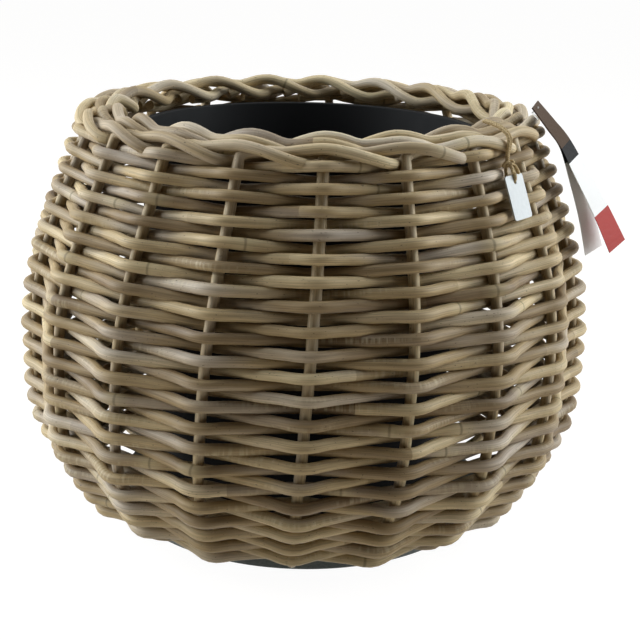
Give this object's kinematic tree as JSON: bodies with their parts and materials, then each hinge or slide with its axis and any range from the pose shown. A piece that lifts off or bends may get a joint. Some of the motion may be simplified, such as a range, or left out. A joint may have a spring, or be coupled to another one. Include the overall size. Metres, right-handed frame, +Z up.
{
  "type": "woven planter basket",
  "caption": "Round-bellied woven rattan planter on a board base, with a rope border, a lift-out liner pot, and a hanging tag and card ticket.",
  "frame": {"origin": "middle of the base board's underside", "axes": "+Z up through the mouth, -Y towards the pictured front, +X to the right seen from the front"},
  "size_m": [0.4054, 0.3955, 0.2929],
  "materials": {
    "rattan_weaver": "weathered grey-brown rattan",
    "rattan_stake": "weathered grey-brown rattan",
    "rattan_border": "weathered grey-brown rattan",
    "stained_board": "dark stained",
    "liner_plastic": "moulded black",
    "tag_tin": "pale satin",
    "jute_twine": "twisted natural jute",
    "ticket_card": "coated card",
    "clear_nylon": "milky nylon"
  },
  "bodies": {
    "basket": {"base_board": "stained_board", "stake_01": "rattan_stake", "stake_02": "rattan_stake", "stake_03": "rattan_stake", "stake_04": "rattan_stake", "stake_05": "rattan_stake", "stake_06": "rattan_stake", "stake_07": "rattan_stake", "stake_08": "rattan_stake", "stake_09": "rattan_stake", "stake_10": "rattan_stake", "stake_11": "rattan_stake", "stake_12": "rattan_stake", "stake_13": "rattan_stake", "stake_14": "rattan_stake", "stake_15": "rattan_stake", "stake_16": "rattan_stake", "stake_17": "rattan_stake", "stake_18": "rattan_stake", "stake_19": "rattan_stake", "border_cane_01": "rattan_border", "border_cane_02": "rattan_border", "border_cane_03": "rattan_border", "border_cane_04": "rattan_border", "border_cane_05": "rattan_border", "border_cane_06": "rattan_border", "border_cane_07": "rattan_border", "border_cane_08": "rattan_border", "border_cane_09": "rattan_border", "border_cane_10": "rattan_border", "border_cane_11": "rattan_border", "border_cane_12": "rattan_border", "border_cane_13": "rattan_border", "border_cane_14": "rattan_border", "border_cane_15": "rattan_border", "border_cane_16": "rattan_border", "border_cane_17": "rattan_border", "border_cane_18": "rattan_border", "border_cane_19": "rattan_border", "weaver_01": "rattan_weaver", "weaver_02": "rattan_weaver", "weaver_03": "rattan_weaver", "weaver_04": "rattan_weaver", "weaver_05": "rattan_weaver", "weaver_06": "rattan_weaver", "weaver_07": "rattan_weaver", "weaver_08": "rattan_weaver", "weaver_09": "rattan_weaver", "weaver_10": "rattan_weaver", "weaver_11": "rattan_weaver", "weaver_12": "rattan_weaver", "ticket_pin": "clear_nylon"},
    "liner": {"liner_pot": "liner_plastic"},
    "tag": {"tag_plate": "tag_tin", "tag_twine": "jute_twine", "tag_knot": "jute_twine"},
    "ticket": {"ticket_card": "ticket_card"}
  },
  "joints": [
    {"name": "liner_lift", "type": "slide", "parent": "basket", "child": "liner", "axis": [0, 0, 1], "range_m": [0, 0.285]},
    {"name": "tag_swing", "type": "hinge", "parent": "basket", "child": "tag", "pos_m": [0.10849, -0.08943, 0.2901], "axis": [-0.6361, -0.7716, 0], "range_deg": [0, 50]},
    {"name": "ticket_swing", "type": "hinge", "parent": "basket", "child": "ticket", "pos_m": [0.1495, -0.03451, 0.28993], "axis": [-0.225, -0.9744, 0], "range_deg": [0, 50]}
  ]
}
